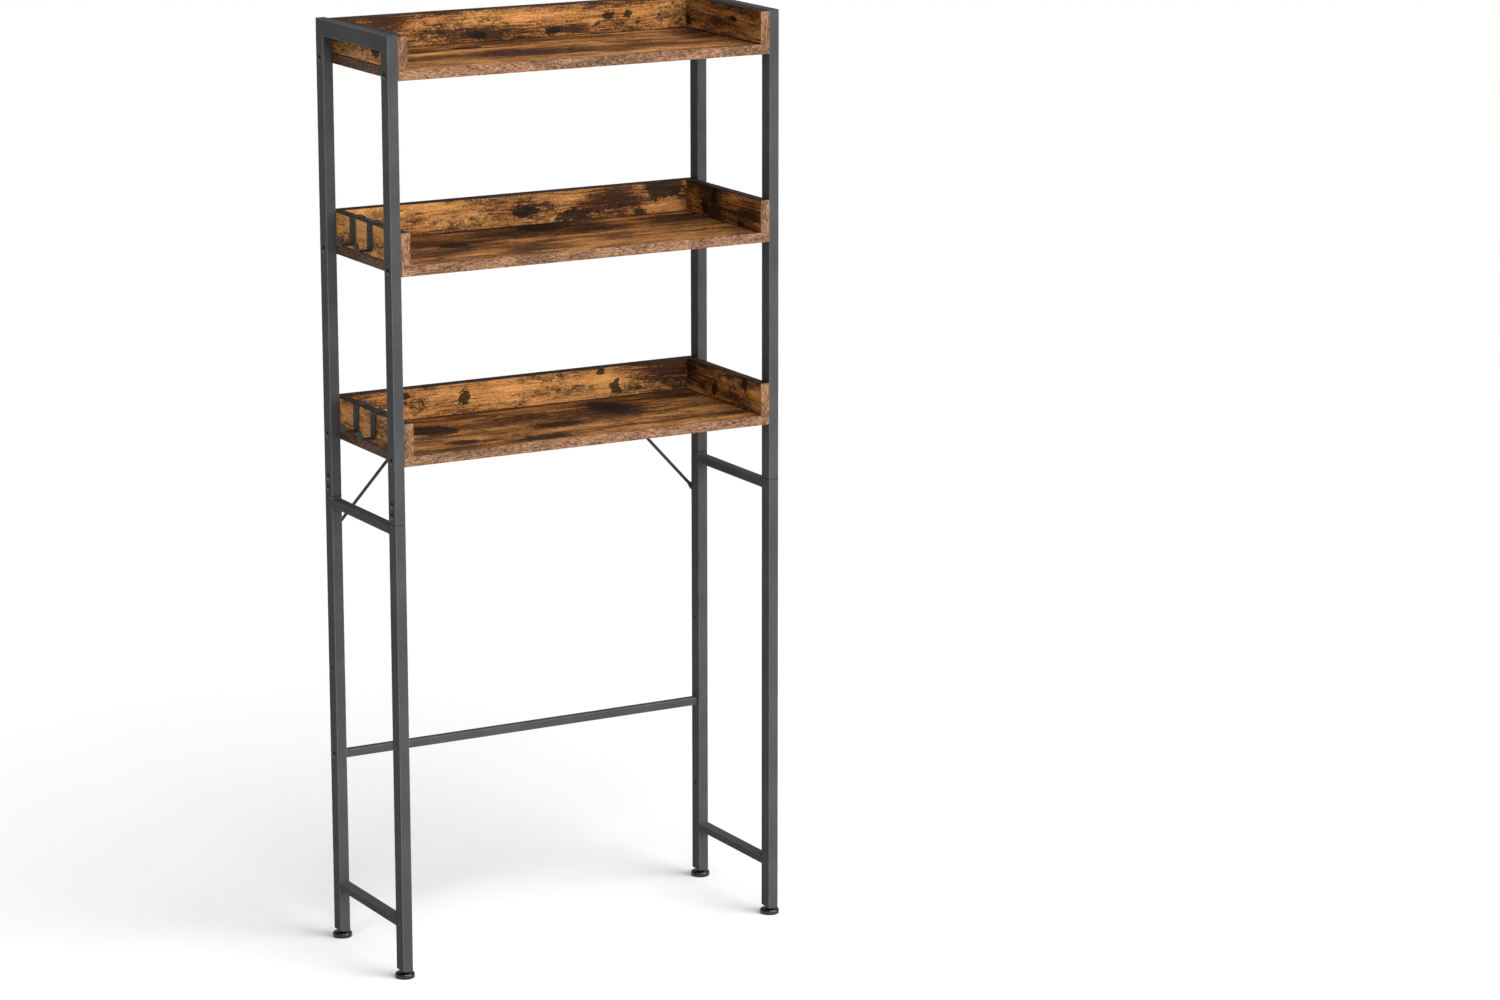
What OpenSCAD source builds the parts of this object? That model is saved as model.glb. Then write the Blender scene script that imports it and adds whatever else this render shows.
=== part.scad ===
// Over-the-toilet storage rack: three wooden trays on a bolted steel tube frame.
// +X is the rack's width, to the right seen from the front; +Y points to the wall; +Z is up.
// The origin is on the floor, under the middle of everything.

/* [Overall] */
// Width across the outer faces of the posts
rack_w = 780; // [620:5:960]
// Depth across the front and rear faces of the posts
rack_d = 300; // [240:5:380]
// Height from the floor to the top of the frame
rack_h = 1710; // [1400:5:2060]
// Height of the seam where the upper frame stands on the legs
seam_z = 842; // [690:1:1020]
// Height of the leg tubes' lower ends above the floor
leg_end_z = 16; // [15.5:0.5:22]

/* [Post tube] */
// Width of the post tube, along the rack's width
tube_w = 20; // [16:0.5:26]
// Depth of the post tube, along the rack's depth
tube_d = 30; // [25:0.5:38]
// Outer corner radius of the post tube
tube_r = 2.5; // [1.5:0.1:3.5]
// Wall of every tube
tube_wall = 1.2; // [1:0.1:1.5]

/* [Cross rails] */
// Height of the rails between front and rear leg
rail_h = 15; // [12:0.5:20]
// Outer corner radius of the cross rails and the bar
rail_r = 1.8; // [1.4:0.1:2.5]
// Distance from the seam down to the top of the upper cross rail
upper_rail_drop = 5.5; // [2:0.5:20]
// Height of the middle of the lower cross rail
lower_rail_z = 102; // [60:1:150]

/* [Rear bar] */
// Size of the square bar between the rear legs
bar_s = 15; // [14:0.5:18]
// Height of the bar's middle, which is also the middle one of three holes
bar_z = 352; // [320:1:420]
// Distance from one bar hole to the next
bar_pitch = 165; // [120:1:180]
// Length of the threaded plug in each end of the bar
bar_plug_l = 22; // [18:1:30]

/* [Trays] */
// Thickness of every board
board_t = 18; // [15:0.5:22]
// Height of the side and back boards
board_h = 60; // [48:1:75]
// Distance from the frame's top down to the top tray's rim
top_tray_drop = 2; // [0:0.5:10]
// Distance from the seam up to the underside of the low tray
low_tray_rise = 104; // [98:1:130]
// Distance of the middle tray below the half-way height
mid_tray_drop = 2; // [0:0.5:20]

/* [Bolts] */
// Shank diameter of the frame bolts
bolt_d = 6; // [5:0.5:7]
// Head diameter of the frame bolts
bolt_head_d = 13; // [11:0.5:14]
// Height of the bolt heads
bolt_head_h = 3; // [2:0.25:4]
// Depth that a bolt reaches into a board or a bar plug
bolt_grip = 15; // [12:1:18]
// Radial room around a bolt in a tube wall
bolt_room = 0.3; // [0.2:0.05:0.5]
// Outer diameter of the threaded inserts in the boards
insert_d = 10; // [9:0.5:11]
// Radial room between a thread and the thread around it
thread_gap = 0.05; // [0.02:0.01:0.1]

/* [Splice] */
// Length of the splice insert above the seam
splice_up = 50; // [46:1:60]
// Length of the splice insert below the seam
splice_down = 55; // [45:1:60]
// Wall of the splice insert
splice_wall = 1.5; // [1.2:0.1:2]
// Height of the first splice bolt above the seam
splice_bolt_z = 14.5; // [12:0.5:18]
// Distance between the two splice bolts
splice_pitch = 20; // [16:0.5:24]
// Thickness of the nuts welded inside the splice insert
nut_h = 5; // [4:0.5:6]
// Radial room between a tube and what slides into it
slide_gap = 0.3; // [0.2:0.05:0.5]

/* [Wood screws] */
// Shank diameter of the tray screws
screw_d = 4.5; // [3.5:0.25:5]
// Length of the tray screws
screw_l = 45; // [35:1:50]
// Distance of a tray screw from the end of its board
screw_inset = 50; // [35:1:60]
// Distance of the back board's outer screws from the post's inner face
back_screw_inset = 120; // [80:1:160]

/* [Braces] */
// Diameter of the brace rod
rod_d = 6; // [5:0.5:8]
// Width of the flattened brace end
brace_end_w = 12; // [11:0.5:16]
// Thickness of the flattened brace end
brace_end_t = 2.4; // [2:0.1:3]
// Distance from the seam down to the brace's lower screw
brace_drop = 79; // [70:1:120]
// Distance from the post's middle in to the brace's upper screw
brace_run = 178; // [120:1:220]
// Shank diameter of the brace screws
brace_screw_d = 4.5; // [4:0.25:5]

/* [Hooks] */
// Width of the hook strip
hook_w = 20; // [16:0.5:24]
// Thickness of the hook strip
hook_t = 2; // [1.5:0.1:2.5]
// Height of the hook from its top to its foot
hook_h = 52; // [46:1:64]
// Distance from the hook's long plate out to its upturned tip
hook_reach = 26; // [20:1:32]
// Height of the upturned tip
hook_tip_h = 17; // [14:1:24]
// Height of the tab behind the board
hook_tab_h = 14; // [12:1:20]
// Inner bend radius of the hook strip
hook_bend_r = 1; // [0.6:0.1:1.6]
// Room between the hook's top and the board it hangs on
hook_rest = 0.05; // [0.02:0.01:0.1]
// Room that the hook's sides keep beyond what its bends need
hook_gap = 0.1; // [0.05:0.05:0.5]
// Distance of the rear hook behind the middle of the board
hook_rear_y = 48; // [35:1:60]
// Distance of the front hook in front of the middle of the board
hook_front_y = 24; // [15:1:60]

/* [Feet] */
// Diameter of the foot pad
pad_d = 36; // [30:1:42]
// Height of the foot pad's disc
pad_h = 9.5; // [8:0.5:11]
// Diameter of the foot pad's collar
collar_d = 15; // [13:0.5:20]
// Diameter of the foot's stud
stud_d = 8; // [6:0.5:10]
// Length of stud inside the leg
stud_in = 26; // [20:1:34]
// Radial room between the stud and its thread
stud_gap = 0.06; // [0.02:0.01:0.1]
// Length of the threaded plug in the leg
leg_plug_l = 24; // [18:1:30]
// Thickness of the leg plug's flange
flange_t = 1.5; // [1:0.1:2]

/* [Hidden] */
SIDES = ["left", "right"];
ENDS = ["front", "rear"];
TRAYS = ["low", "mid", "top"];

$fn = 48;
eps = 0.01;
margin = 1;
steel = [0.26, 0.26, 0.27];
steel_dark = [0.14, 0.14, 0.15];
zinc = [0.62, 0.62, 0.6];
wood = [0.56, 0.37, 0.21];
wood_dark = [0.45, 0.29, 0.17];
black = [0.05, 0.05, 0.05];

// Signs of the side and the end that a name stands for
function side_sign(s) = s == "left" ? -1 : 1;
function end_sign(e) = e == "front" ? -1 : 1;

// Insides of the frame
inner_x = rack_w / 2 - tube_w;
inner_y = rack_d / 2 - tube_d;
post_x = rack_w / 2 - tube_w / 2;
post_y = rack_d / 2 - tube_d / 2;

// Heights of the trays' undersides, and the middle of their bottom boards
low_tray_z = seam_z + low_tray_rise;
top_tray_z = rack_h - top_tray_drop - board_h - board_t;
mid_tray_z = (low_tray_z + top_tray_z) / 2 - mid_tray_drop;
function tray_z(t) = t == "low" ? low_tray_z : t == "mid" ? mid_tray_z : top_tray_z;
tray_w = 2 * inner_x;
back_y = rack_d / 2 - board_t / 2;

// How much rounder a tube's inside corner is than its wall alone would make it
inner_r_extra = 0.3;

// The three holes for the bar in each rear leg
bar_holes = [for (i = [-1, 0, 1]) bar_z + i * bar_pitch];
splice_zs = [for (i = [0, 1]) seam_z + splice_bolt_z + i * splice_pitch];
bolt_hole_d = bolt_d + 2 * bolt_room;

// The knee brace runs from the rear leg's middle up to the low tray's rear edge
brace_low_z = seam_z - brace_drop;
brace_top_z = low_tray_z + board_t / 2;
brace_l = norm([brace_run, brace_top_z - brace_low_z]);
brace_angle = atan2(brace_top_z - brace_low_z, brace_run);
brace_flat_l = 22;
brace_screw_head_h = 2.4;
brace_screw_head_d = 9;
brace_screw_l = 22;
brace_bolt_l = 11;

// The hook's outline, measured from the middle of the board's thickness. Its sides stand off
// far enough for the round inner bends to clear the board's square corners
bend_room = ceil(100 * (hook_bend_r - sqrt(pow(hook_bend_r, 2) - pow(hook_bend_r - hook_rest, 2)))) / 100;
hook_in = board_t / 2 + bend_room + hook_gap;
hook_out = hook_in + hook_t;
hook_x = inner_x - board_t / 2;

// The foot pad's collar stops just short of the leg plug's flange
flange_z = leg_end_z - flange_t;
stop_gap = 0.3;
collar_top = flange_z - stop_gap;
stud_low = 4;
stud_top = leg_end_z + stud_in;

// Shift that puts the middle of the whole outline over the origin
reach_left = max(hook_x + hook_out + hook_reach, rack_w / 2 + bolt_head_h, post_x + pad_d / 2);
reach_right = max(rack_w / 2 + bolt_head_h, post_x + pad_d / 2);
reach_front = max(rack_d / 2, post_y + pad_d / 2);
reach_rear = max(rack_d / 2 + rod_d + eps, rack_d / 2 + brace_end_t + brace_screw_head_h,
                 post_y + pad_d / 2);
rack_shift = [(reach_left - reach_right) / 2, (reach_front - reach_rear) / 2, 0];

// ---- Building blocks ----

// Rectangle with round corners, centred
module round_rect(w, h, r) {
    square([w - 2 * r, h], center = true);
    square([w, h - 2 * r], center = true);
    for (x = [-1, 1], y = [-1, 1])
        translate([x * (w / 2 - r), y * (h / 2 - r)]) circle(r);
}

// Cross-section of a tube with round corners, centred
module tube_section(w, h, r, wall) {
    difference() {
        round_rect(w, h, r);
        round_rect(w - 2 * wall, h - 2 * wall, r - wall + inner_r_extra);
    }
}

// Cylinder along +X from x = 0
module along_x(d, l) {
    rotate([0, 90, 0]) cylinder(d = d, h = l);
}

// Upright tube between two heights, centred on its own axis
module upright(low, high) {
    translate([0, 0, low]) linear_extrude(high - low)
        tube_section(tube_w, tube_d, tube_r, tube_wall);
}

// Tube along Y, centred on its middle
module rail(w, h, r, l) {
    translate([0, -l / 2, 0]) rotate([-90, 0, 0]) linear_extrude(l)
        tube_section(w, h, r, tube_wall);
}

// Everything above or below the mitre plane of the rear post, drawn from the post's axis
module mitre_wedge(above) {
    reach = tube_w;
    far = tube_d / 2 + reach;
    low = -tube_d - reach;
    translate([-reach, 0, rack_h]) rotate([90, 0, 90]) linear_extrude(2 * reach)
        polygon([[-far, low], [far, reach], above ? [-far, reach] : [far, low]]);
}

// Bolt along +X with a domed head outside x = 0
module frame_bolt(grip) {
    dome_r = (pow(bolt_head_d / 2, 2) + pow(bolt_head_h, 2)) / (2 * bolt_head_h);
    socket_d = bolt_d * 0.7;
    socket_h = bolt_head_h * 0.6;
    difference() {
        union() {
            intersection() {
                translate([dome_r - bolt_head_h, 0, 0]) sphere(dome_r);
                translate([-bolt_head_h, 0, 0]) along_x(bolt_head_d + margin, bolt_head_h);
            }
            translate([-eps, 0, 0]) along_x(bolt_d, grip + eps);
        }
        translate([-bolt_head_h - eps, 0, 0]) rotate([0, 90, 0])
            cylinder(d = socket_d, h = socket_h + eps, $fn = 6);
    }
}

// Wood screw along +Z with a countersunk head that ends flush at z = 0
module wood_screw(d, l) {
    tip_d = d * 0.3;
    cylinder(d1 = 2 * d, d2 = d, h = d / 2);
    cylinder(d = d, h = l - d);
    translate([0, 0, l - d]) cylinder(d1 = d, d2 = tip_d, h = d);
}

// The hole that a wood screw needs
module screw_hole(d, l) {
    room = 2 * thread_gap;
    translate([0, 0, -eps]) cylinder(d1 = 2 * d + room, d2 = d + room, h = d / 2 + eps);
    translate([0, 0, -eps]) cylinder(d = d + room, h = l + margin);
}

// Places children at the four corners of the rack with the outside towards -X, then mirrored
module at_side(s) {
    mirror([side_sign(s) > 0 ? 1 : 0, 0, 0]) children();
}

// ---- Frame ----

// Upper post: mitred top, bolt holes for three trays and two splice bolts
module post(s, e) {
    color(steel) translate([side_sign(s) * post_x, end_sign(e) * post_y, 0]) difference() {
        upright(seam_z, rack_h);
        mirror([0, e == "front" ? 1 : 0, 0]) mitre_wedge(true);
        for (t = TRAYS)
            translate([-tube_w, 0, tray_z(t) + board_t / 2]) along_x(bolt_hole_d, 2 * tube_w);
        for (z = splice_zs)
            at_side(s) translate([-tube_w, 0, z]) along_x(bolt_hole_d, tube_w);
    }
}

// Rail that closes the upper frame, mitred into both posts
module top_rail(s) {
    color(steel) translate([side_sign(s) * post_x, 0, 0]) difference() {
        translate([0, 0, rack_h - tube_d / 2]) rail(tube_w, tube_d, tube_r, rack_d);
        for (m = [0, 1])
            mirror([0, m, 0]) translate([0, post_y, 0]) mitre_wedge(false);
    }
}

// Leg tube: splice bolts sit above it; rear legs carry the bar holes and a brace hole
module leg(s, e) {
    color(steel) translate([side_sign(s) * post_x, end_sign(e) * post_y, 0]) difference() {
        upright(leg_end_z, seam_z);
        if (e == "rear") {
            for (z = bar_holes)
                translate([-tube_w, 0, z]) along_x(bolt_hole_d, 2 * tube_w);
            translate([0, 0, brace_low_z]) rotate([-90, 0, 0])
                cylinder(d = brace_screw_d + 2 * thread_gap, h = tube_d);
        }
    }
}

// Rail between the legs, flush with both faces of the leg tubes
module cross_rail(s, z) {
    color(steel) translate([side_sign(s) * post_x, 0, z])
        rail(tube_w, rail_h, rail_r, 2 * inner_y);
}

// Tube inside the seam, held against the post's outer wall by its two bolts
splice_w = tube_w - 2 * tube_wall - 2 * slide_gap;
splice_d = tube_d - 2 * tube_wall - 2 * slide_gap;
splice_r = splice_wall + 2 * inner_r_extra;
module splice_insert(s, e) {
    color(zinc) at_side(s)
        translate([-post_x - slide_gap, end_sign(e) * post_y, 0]) difference() {
            translate([0, 0, seam_z - splice_down]) linear_extrude(splice_up + splice_down)
                tube_section(splice_w, splice_d, splice_r, splice_wall);
            for (z = splice_zs)
                translate([-tube_w, 0, z]) along_x(bolt_d + 2 * thread_gap, tube_w);
        }
}

splice_face_x = -rack_w / 2 + tube_wall;
module splice_nuts() {
    color(zinc) for (s = SIDES, e = ENDS, z = splice_zs) at_side(s)
        translate([splice_face_x + splice_wall, end_sign(e) * post_y, z]) difference() {
            rotate([0, 90, 0]) cylinder(d = bolt_d * 1.9, h = nut_h, $fn = 6);
            translate([-eps, 0, 0]) along_x(bolt_d + 2 * thread_gap, nut_h + 2 * eps);
        }
}

module splice_bolts() {
    color(steel_dark) for (s = SIDES, e = ENDS, z = splice_zs) at_side(s)
        translate([-rack_w / 2, end_sign(e) * post_y, z])
            frame_bolt(tube_wall + splice_wall + nut_h);
}

// ---- Rear bar and braces ----

module rear_bar() {
    color(steel) translate([0, post_y, bar_z]) rotate([0, 0, 90])
        rail(bar_s, bar_s, rail_r, tray_w);
}

module bar_end_plugs() {
    plug_s = bar_s - 2 * tube_wall - 2 * thread_gap;
    plug_r = rail_r - tube_wall + inner_r_extra;
    color(black) for (s = SIDES) at_side(s) translate([-inner_x, post_y, bar_z]) difference() {
        rotate([90, 0, 90]) linear_extrude(bar_plug_l) round_rect(plug_s, plug_s, plug_r);
        translate([-eps, 0, 0]) along_x(bolt_d + 2 * thread_gap, bolt_grip + margin);
    }
}

module bar_bolts() {
    color(steel_dark) for (s = SIDES) at_side(s) translate([-rack_w / 2, post_y, bar_z])
        frame_bolt(tube_w + bolt_grip);
}

// Rod with two flattened ends on the rear faces of the leg and the low tray
module knee_brace(s) {
    hole_d = brace_screw_d + 4 * thread_gap;
    past_screw = brace_end_w * 0.6;
    color(steel) at_side(s) translate([-post_x, rack_d / 2, brace_low_z])
        rotate([0, -brace_angle, 0]) difference() {
            union() {
                translate([brace_flat_l / 2, rod_d / 2 + eps, 0]) rotate([0, 90, 0])
                    cylinder(d = rod_d, h = brace_l - brace_flat_l);
                for (x = [0, brace_l - brace_flat_l])
                    translate([x, brace_end_t, 0]) rotate([90, 0, 0])
                        linear_extrude(brace_end_t) brace_tongue();
            }
            for (x = [0, brace_l])
                translate([x, -eps, 0]) rotate([-90, 0, 0])
                    cylinder(d = hole_d, h = rod_d + margin);
            // the rod stops short of the screw heads
            for (x = [-brace_end_w, brace_l - past_screw])
                translate([x, brace_end_t, -rod_d])
                    cube([brace_end_w + past_screw, rod_d + margin, 2 * rod_d]);
        }
}

// Outline of a flattened end, between two screw places
module brace_tongue() {
    circle(d = brace_end_w);
    translate([0, -brace_end_w / 2]) square([brace_flat_l, brace_end_w]);
    translate([brace_flat_l, 0]) circle(d = brace_end_w);
}

// Pan-head screws of the braces: one in each leg, one in each rear tray edge
module brace_screws() {
    color(steel_dark) for (s = SIDES) at_side(s) {
        translate([-post_x, rack_d / 2 + brace_end_t, brace_low_z]) brace_screw(brace_bolt_l);
        translate([-post_x + brace_run, rack_d / 2 + brace_end_t, brace_top_z])
            brace_screw(brace_screw_l);
    }
}

module brace_screw(l) {
    slot_l = 5;
    slot_w = 1;
    top_d = brace_screw_head_d - 2;
    rotate([90, 0, 0]) {
        cylinder(d = brace_screw_d, h = l);
        difference() {
            translate([0, 0, -brace_screw_head_h])
                cylinder(d1 = top_d, d2 = brace_screw_head_d, h = brace_screw_head_h);
            for (a = [0, 90]) rotate([0, 0, a])
                translate([-slot_l / 2, -slot_w / 2, -brace_screw_head_h - eps])
                    cube([slot_l, slot_w, slot_w]);
        }
    }
}

// ---- Trays ----

// Where the screws go up through a bottom board, from the middle of the board
side_screw_ys = [-rack_d / 2 + screw_inset, rack_d / 2 - board_t - screw_inset];
back_screw_xs = [for (i = [-1, 0, 1]) i * (inner_x - back_screw_inset)];
corner_screw_z = board_t + board_h / 2;

module screw_places() {
    for (x = [-hook_x, hook_x], y = side_screw_ys) translate([x, y, 0]) children();
    for (x = back_screw_xs) translate([x, back_y, 0]) children();
    for (x = [-hook_x, hook_x])
        translate([x, rack_d / 2, corner_screw_z]) rotate([90, 0, 0]) children();
}

module insert_places() {
    for (s = SIDES, e = ENDS)
        at_side(s) translate([-inner_x, end_sign(e) * post_y, board_t / 2]) children();
}

module tray_bottom(t) {
    color(wood) translate([0, 0, tray_z(t)]) difference() {
        translate([-inner_x, -rack_d / 2, 0]) cube([tray_w, rack_d, board_t]);
        screw_places() screw_hole(screw_d, screw_l);
        insert_places() translate([-eps, 0, 0]) along_x(insert_d + 2 * thread_gap, bolt_grip + margin);
        if (t == "low") for (s = SIDES) at_side(s)
            translate([-post_x + brace_run, rack_d / 2 + eps, board_t / 2]) rotate([90, 0, 0])
                cylinder(d = brace_screw_d + 2 * thread_gap, h = brace_screw_l);
    }
}

module tray_back(t) {
    color(wood_dark) translate([0, 0, tray_z(t)]) difference() {
        translate([-inner_x, rack_d / 2 - board_t, board_t]) cube([tray_w, board_t, board_h]);
        screw_places() screw_hole(screw_d, screw_l);
    }
}

module tray_side(t, s) {
    color(wood_dark) translate([0, 0, tray_z(t)]) difference() {
        translate([side_sign(s) * hook_x - board_t / 2, -rack_d / 2, board_t])
            cube([board_t, rack_d - board_t, board_h]);
        screw_places() screw_hole(screw_d, screw_l);
    }
}

module tray_screws() {
    color(zinc) for (t = TRAYS) translate([0, 0, tray_z(t)])
        screw_places() wood_screw(screw_d, screw_l);
}

module tray_inserts() {
    color(zinc) for (t = TRAYS) translate([0, 0, tray_z(t)]) insert_places() difference() {
        along_x(insert_d, bolt_grip);
        translate([-eps, 0, 0]) along_x(bolt_d + 2 * thread_gap, bolt_grip + 2 * eps);
    }
}

module tray_bolts() {
    color(steel_dark) for (t = TRAYS, s = SIDES, e = ENDS) at_side(s)
        translate([-rack_w / 2, end_sign(e) * post_y, tray_z(t) + board_t / 2])
            frame_bolt(tube_w + bolt_grip - margin);
}

// ---- Hooks ----

// A strip bend: a quarter ring in the corner that x and z point to
module bend(x, z, sx, sz) {
    r = hook_bend_r + hook_t;
    translate([x - sx * r, z - sz * r]) intersection() {
        difference() {
            circle(r);
            circle(hook_bend_r);
        }
        translate([sx > 0 ? 0 : -r, sz > 0 ? 0 : -r]) square(r);
    }
}

// Side view of the hook: x grows outwards, z = 0 is the board's top edge
module hook_profile() {
    r = hook_bend_r + hook_t;
    top = hook_rest + hook_t;
    low = top - hook_h;
    tip_x = hook_out + hook_reach;
    translate([-hook_out, top - hook_tab_h]) square([hook_t, hook_tab_h - r]);
    bend(-hook_out, top, -1, 1);
    translate([-hook_out + r, hook_rest]) square([2 * (hook_out - r), hook_t]);
    bend(hook_out, top, 1, 1);
    translate([hook_in, low + r]) square([hook_t, hook_h - 2 * r]);
    // the foot turns outwards, so its inner bend faces up and out
    translate([hook_in + r, low + r]) intersection() {
        difference() {
            circle(r);
            circle(hook_bend_r);
        }
        translate([-r, -r]) square(r);
    }
    translate([hook_in + r, low]) square([tip_x - hook_in - 2 * r, hook_t]);
    bend(tip_x, low, 1, -1);
    translate([tip_x - hook_t, low + r]) square([hook_t, hook_tip_h - r]);
}

// Face view of the hook: the strip's width with a round tip or tab at one end
module round_end(h, up) {
    r = hook_w / 2;
    translate([-r, up > 0 ? 0 : -(h - r)]) square([hook_w, h - r]);
    translate([0, up * (h - r)]) circle(r);
}

module hook(t, e) {
    y = e == "rear" ? hook_rear_y : -hook_front_y;
    low = hook_rest + hook_t - hook_h;
    tip_x = hook_out + hook_reach;
    color(steel_dark) translate([-hook_x, y, tray_z(t) + board_t + board_h])
        mirror([1, 0, 0]) difference() {
            translate([0, hook_w / 2, 0]) rotate([90, 0, 0]) linear_extrude(hook_w) hook_profile();
            // round the upturned tip
            translate([tip_x - hook_t - margin, 0, low]) rotate([90, 0, 90])
                linear_extrude(hook_t + 2 * margin) difference() {
                    translate([-hook_w, hook_tip_h - hook_w / 2]) square([2 * hook_w, hook_w]);
                    round_end(hook_tip_h, 1);
                }
            // round the tab behind the board
            translate([-hook_out - margin, 0, hook_rest + hook_t]) rotate([90, 0, 90])
                linear_extrude(hook_t + 2 * margin) difference() {
                    translate([-hook_w, -hook_tab_h - hook_w / 2]) square([2 * hook_w, hook_w]);
                    round_end(hook_tab_h, -1);
                }
        }
}

// ---- Feet ----

// Plastic plug pressed into the leg's end, with the thread for the foot
module leg_plug(s, e) {
    plug_w = tube_w - 2 * tube_wall - 2 * thread_gap;
    plug_d = tube_d - 2 * tube_wall - 2 * thread_gap;
    color(black) translate([side_sign(s) * post_x, end_sign(e) * post_y, 0]) difference() {
        union() {
            translate([0, 0, flange_z]) linear_extrude(flange_t)
                round_rect(tube_w, tube_d, tube_r);
            translate([0, 0, leg_end_z - eps]) linear_extrude(leg_plug_l + eps)
                round_rect(plug_w, plug_d, tube_r - tube_wall + inner_r_extra);
        }
        translate([0, 0, flange_z - eps])
            cylinder(d = stud_d + 2 * stud_gap, h = leg_plug_l + flange_t + 2 * eps);
    }
}

module foot_stud(s, e) {
    chamfer = 1;
    color(zinc) translate([side_sign(s) * post_x, end_sign(e) * post_y, 0]) {
        translate([0, 0, stud_low]) cylinder(d = stud_d, h = stud_top - stud_low - chamfer);
        translate([0, 0, stud_top - chamfer])
            cylinder(d1 = stud_d, d2 = stud_d - 2 * chamfer, h = chamfer);
    }
}

// Domed glide pad with a rim and a collar, turned round its own axis
module foot_pad(s, e) {
    rim_r = pad_d / 2;
    heel = 1.2;
    dome = 3.5;
    bore_r = stud_d / 2 + stud_gap;
    color(black) translate([side_sign(s) * post_x, end_sign(e) * post_y, 0]) difference() {
        rotate_extrude() {
            polygon([[0, 0], [rim_r - heel, 0], [rim_r, heel], [rim_r, pad_h - dome],
                     [rim_r - dome, pad_h - dome], [rim_r - dome, pad_h],
                     [collar_d / 2, pad_h], [collar_d / 2, collar_top], [0, collar_top]]);
            translate([rim_r - dome, pad_h - dome]) intersection() {
                circle(dome);
                square(dome);
            }
        }
        translate([0, 0, stud_low - 2 * stud_gap]) cylinder(r = bore_r, h = collar_top);
    }
}

// ---- Drawing ----

translate(rack_shift) {
    for (s = SIDES, e = ENDS) {
        corner = str(s, "_", e);
        post(s, e);
        leg(s, e);
        splice_insert(s, e);
        leg_plug(s, e);
        foot_stud(s, e);
        foot_pad(s, e);
    }
    for (s = SIDES) {
        top_rail(s);
        cross_rail(s, seam_z - upper_rail_drop - rail_h / 2);
        cross_rail(s, lower_rail_z);
        knee_brace(s);
    }
    for (t = TRAYS) {
        tray_bottom(t);
        tray_back(t);
        for (s = SIDES)
            tray_side(t, s);
    }
    for (t = ["low", "mid"], e = ENDS)
        hook(t, e);
    rear_bar();
    bar_end_plugs();
    tray_bolts();
    tray_inserts();
    splice_bolts();
    splice_nuts();
    bar_bolts();
    brace_screws();
    tray_screws();
}
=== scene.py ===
# Over-the-toilet storage rack: boards, hooks, feet, braces and finishes round the steel frame.
import math

import bmesh
import bpy
from mathutils import Euler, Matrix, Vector


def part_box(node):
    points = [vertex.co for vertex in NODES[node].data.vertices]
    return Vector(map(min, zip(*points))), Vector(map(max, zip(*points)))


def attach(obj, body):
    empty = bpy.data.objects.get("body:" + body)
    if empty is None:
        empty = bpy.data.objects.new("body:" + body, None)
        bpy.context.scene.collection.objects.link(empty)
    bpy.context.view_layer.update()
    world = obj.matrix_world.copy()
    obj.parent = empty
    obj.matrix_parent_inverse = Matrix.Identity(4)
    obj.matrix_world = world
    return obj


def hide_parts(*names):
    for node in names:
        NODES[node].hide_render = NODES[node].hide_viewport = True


bl_info = {
    "name": "Over-the-toilet storage rack",
    "version": (1, 0, 0),
    "blender": (4, 5, 0),
    "location": "3D View > Sidebar > Rack",
    "description": "Boards, hooks, feet, braces and finishes of a steel and wood storage rack",
    "category": "Object",
}

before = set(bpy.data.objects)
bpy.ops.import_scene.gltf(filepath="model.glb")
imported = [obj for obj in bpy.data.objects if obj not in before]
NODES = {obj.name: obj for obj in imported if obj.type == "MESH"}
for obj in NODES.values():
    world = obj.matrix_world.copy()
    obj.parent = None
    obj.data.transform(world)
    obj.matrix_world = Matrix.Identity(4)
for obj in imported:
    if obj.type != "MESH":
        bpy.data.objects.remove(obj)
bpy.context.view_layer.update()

MM = 0.001
SIDES = ("left", "right")
ENDS = ("front", "rear")
TRAYS = ("low", "mid", "top")
CORNERS = [f"{s}_{e}" for s in SIDES for e in ENDS]

# How strongly each finish mirrors what is round it
MIRROR = {"coat": 0.015, "hook": 0.15, "board": 0.05, "band": 0.04, "floor": 0.1}

FLAT = 0.9999  # a face whose normal is this near an axis is flat, not part of a rounding


# ---------------------------------------------------------------- settings


class RackCoat(bpy.types.PropertyGroup):
    """Powder coat of the steel tubes"""

    colour: bpy.props.FloatVectorProperty(
        name="Coat colour", description="Colour of the powder coat on the tubes",
        subtype="COLOR", size=3, min=0.0, max=1.0, default=(0.052, 0.052, 0.053))
    # Painted highlight along the tube corners, standing in for the sheen on their rounding; the coat
    # is also worn thin there
    worn: bpy.props.FloatVectorProperty(
        name="Corner highlight and wear", description="Colour of the painted highlight along the corners, where the coat is also thin",
        subtype="COLOR", size=3, min=0.0, max=1.0, default=(0.13, 0.13, 0.133))
    roughness: bpy.props.FloatProperty(
        name="Coat roughness", description="How matt the powder coat is",
        subtype="FACTOR", min=0.05, max=1.0, default=0.42)
    seam_width: bpy.props.FloatProperty(
        name="Seam width", description="Width of the shadow line where post and leg meet",
        unit="LENGTH", subtype="DISTANCE", min=0.0, max=0.003, default=0.0014)


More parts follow.
